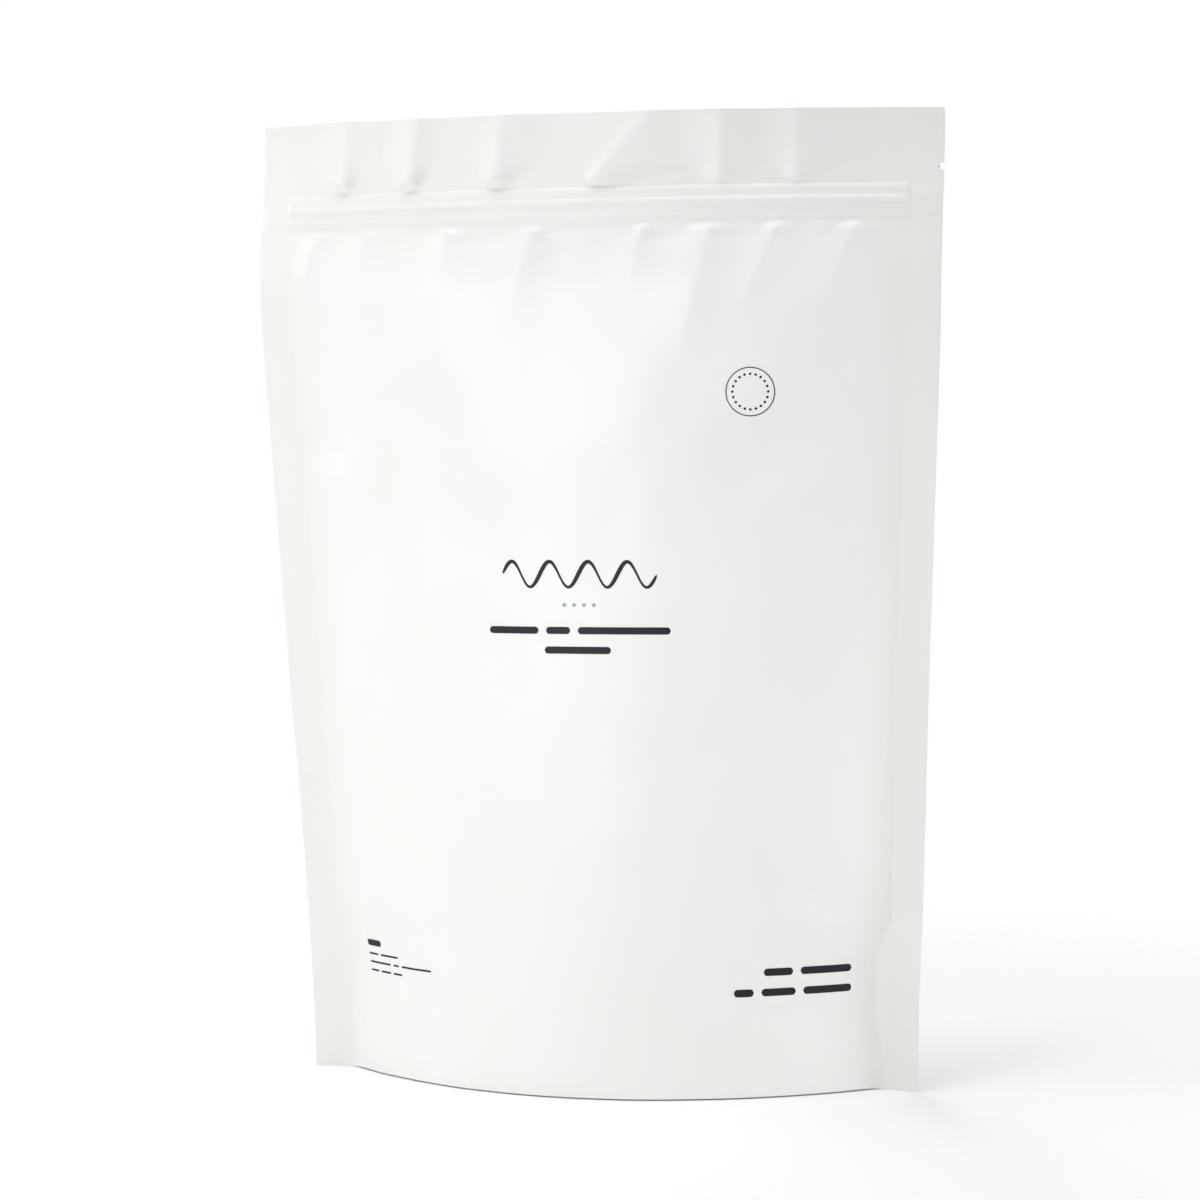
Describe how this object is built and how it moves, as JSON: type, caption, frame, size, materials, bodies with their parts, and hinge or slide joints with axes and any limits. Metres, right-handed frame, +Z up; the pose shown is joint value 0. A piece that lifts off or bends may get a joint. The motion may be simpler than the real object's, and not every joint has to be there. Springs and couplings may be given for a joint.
{
  "type": "laundry powder refill bag",
  "caption": "Filled stand-up pouch of white laminate film with a round-bottom gusset, side seals, press-to-close strip and a tear notch, standing on its foot.",
  "frame": {"origin": "on the floor under the middle of the bag's outer box, on the flat of the gusset film", "axes": "+Z up the standing bag, +X to its right as seen from the front, -Y out of its front film"},
  "size_m": [0.28, 0.0986, 0.387],
  "materials": {
    "laminate_film": "matt white printed laminate film"
  },
  "bodies": {
    "root": {"sealed_pouch": "laminate_film"}
  },
  "joints": []
}
